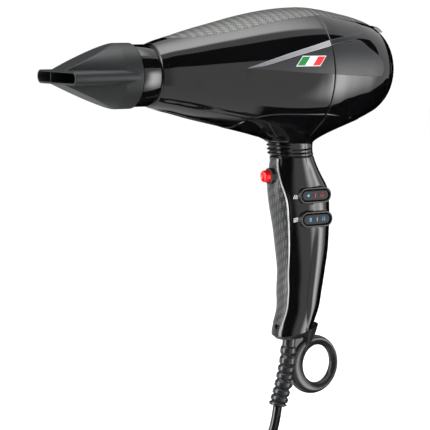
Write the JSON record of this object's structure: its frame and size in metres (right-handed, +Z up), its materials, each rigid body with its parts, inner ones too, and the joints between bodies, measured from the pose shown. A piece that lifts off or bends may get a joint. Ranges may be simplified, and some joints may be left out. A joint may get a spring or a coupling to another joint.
{
  "type": "hair dryer",
  "caption": "Hand-held hair dryer: tapered barrel on a curved handle, slot concentrator nozzle, rocker switches, cold-shot button, hanging ring and mains lead.",
  "frame": {"origin": "middle of the hand grip, inside the handle, 130 mm below the barrel's axis and in the plane of the barrel's ring seam", "axes": "+Z up, from the grip to the barrel; +X back along the barrel towards the air intake, so that the nozzle points to -X; +Y to the side without switches"},
  "size_m": [0.2735, 0.1393, 0.3599],
  "materials": {
    "gloss_shell": "high-gloss moulded ABS",
    "satin_panel": "satin painted insert",
    "silver_band": "satin silver foil band",
    "carbon_look_film": "lacquered carbon-weave film",
    "nozzle_nylon": "fine matt glass-filled nylon",
    "heat_proof_nylon": "natural heat-proof nylon",
    "steel": "plain steel",
    "bearing_bronze": "sintered bronze and copper",
    "copper_windings": "enamelled copper wire",
    "carbon": "pressed carbon",
    "mica": "mica board",
    "heater_wire": "oxidised resistance wire",
    "rocker_grey": "satin charcoal plastic",
    "switch_black": "plain moulded plastic",
    "button_red": "gloss red plastic",
    "soft_rubber": "satin rubber",
    "cord_pvc": "gloss PVC sheath",
    "plug_rubber": "moulded PVC",
    "plug_pins": "nickel-plated brass",
    "wire_brown": "brown PVC insulation",
    "wire_blue": "blue PVC insulation"
  },
  "bodies": {
    "dryer": {"accent_band_left": "silver_band", "accent_band_right": "silver_band", "barrel_front_shell": "gloss_shell", "barrel_rear_shell": "gloss_shell", "carbon_brush_left": "carbon", "carbon_brush_right": "carbon", "cold_shot_microswitch": "switch_black", "cold_shot_spring": "steel", "cord_clamp": "heat_proof_nylon", "fan_duct": "heat_proof_nylon", "field_coil_lower": "copper_windings", "field_coil_upper": "copper_windings", "foot_boot_and_ring": "soft_rubber", "front_bearing": "bearing_bronze", "grip_inlay": "carbon_look_film", "handle_front_shell": "gloss_shell", "handle_rear_shell": "gloss_shell", "handle_screw_lower": "steel", "handle_screw_upper": "steel", "heat_switch_bezel": "rocker_grey", "heat_switch_body": "switch_black", "heater_winding": "heater_wire", "lead_coil": "cord_pvc", "lead_drop": "cord_pvc", "lead_inner_end": "cord_pvc", "lead_tail": "cord_pvc", "mica_board_flat": "mica", "mica_board_upright": "mica", "mica_sleeve": "mica", "motor_field_core": "steel", "motor_front_bell": "steel", "motor_rear_bell": "steel", "outlet_grille": "steel", "plug_body": "plug_rubber", "plug_pin_left": "plug_pins", "plug_pin_right": "plug_pins", "rear_bearing": "bearing_bronze", "side_panel_left_front": "satin_panel", "side_panel_left_rear": "satin_panel", "side_panel_right_front": "satin_panel", "side_panel_right_rear": "satin_panel", "speed_switch_bezel": "rocker_grey", "speed_switch_body": "switch_black", "thermal_fuse": "steel", "thermostat": "heat_proof_nylon", "top_strip_front": "carbon_look_film", "top_strip_rear": "carbon_look_film", "wire_live": "wire_brown", "wire_neutral": "wire_blue"},
    "nozzle_collar": {"nozzle_snap_collar": "heat_proof_nylon"},
    "nozzle": {"nozzle": "nozzle_nylon"},
    "rotor": {"fan": "heat_proof_nylon", "motor_shaft": "steel", "armature": "copper_windings", "commutator": "bearing_bronze"},
    "heat_rocker": {"heat_rocker": "rocker_grey"},
    "speed_rocker": {"speed_rocker": "rocker_grey"},
    "cold_shot": {"cold_shot_button": "button_red"},
    "filter_cap": {"filter_cap": "gloss_shell", "filter_mesh": "steel"}
  },
  "joints": [
    {"name": "nozzle_pull_off", "type": "slide", "parent": "dryer", "child": "nozzle_collar", "axis": [-1, 0, 0], "range_m": [0, 0.016]},
    {"name": "nozzle_turn", "type": "hinge", "parent": "nozzle_collar", "child": "nozzle", "pos_m": [-0.15, 0, 0.13], "axis": [1, 0, 0], "continuous": true},
    {"name": "fan_spin", "type": "hinge", "parent": "dryer", "child": "rotor", "pos_m": [0.03, 0, 0.13], "axis": [1, 0, 0], "continuous": true},
    {"name": "heat_rocker_tilt", "type": "hinge", "parent": "dryer", "child": "heat_rocker", "pos_m": [0.0056, -0.0155, 0.0389], "axis": [0, 0, 1], "range_deg": [-8, 8]},
    {"name": "speed_rocker_tilt", "type": "hinge", "parent": "dryer", "child": "speed_rocker", "pos_m": [0.007, -0.0155, 0.0208], "axis": [0, 0, 1], "range_deg": [-8, 8]},
    {"name": "cold_shot_press", "type": "slide", "parent": "dryer", "child": "cold_shot", "axis": [1, 0, 0], "range_m": [0, 0.0025], "stiffness_N_per_m": 400, "springref_m": -0.002, "deforming": ["cold_shot_spring"]},
    {"name": "filter_cap_pull_off", "type": "slide", "parent": "dryer", "child": "filter_cap", "axis": [1, 0, 0], "range_m": [0, 0.014]}
  ]
}
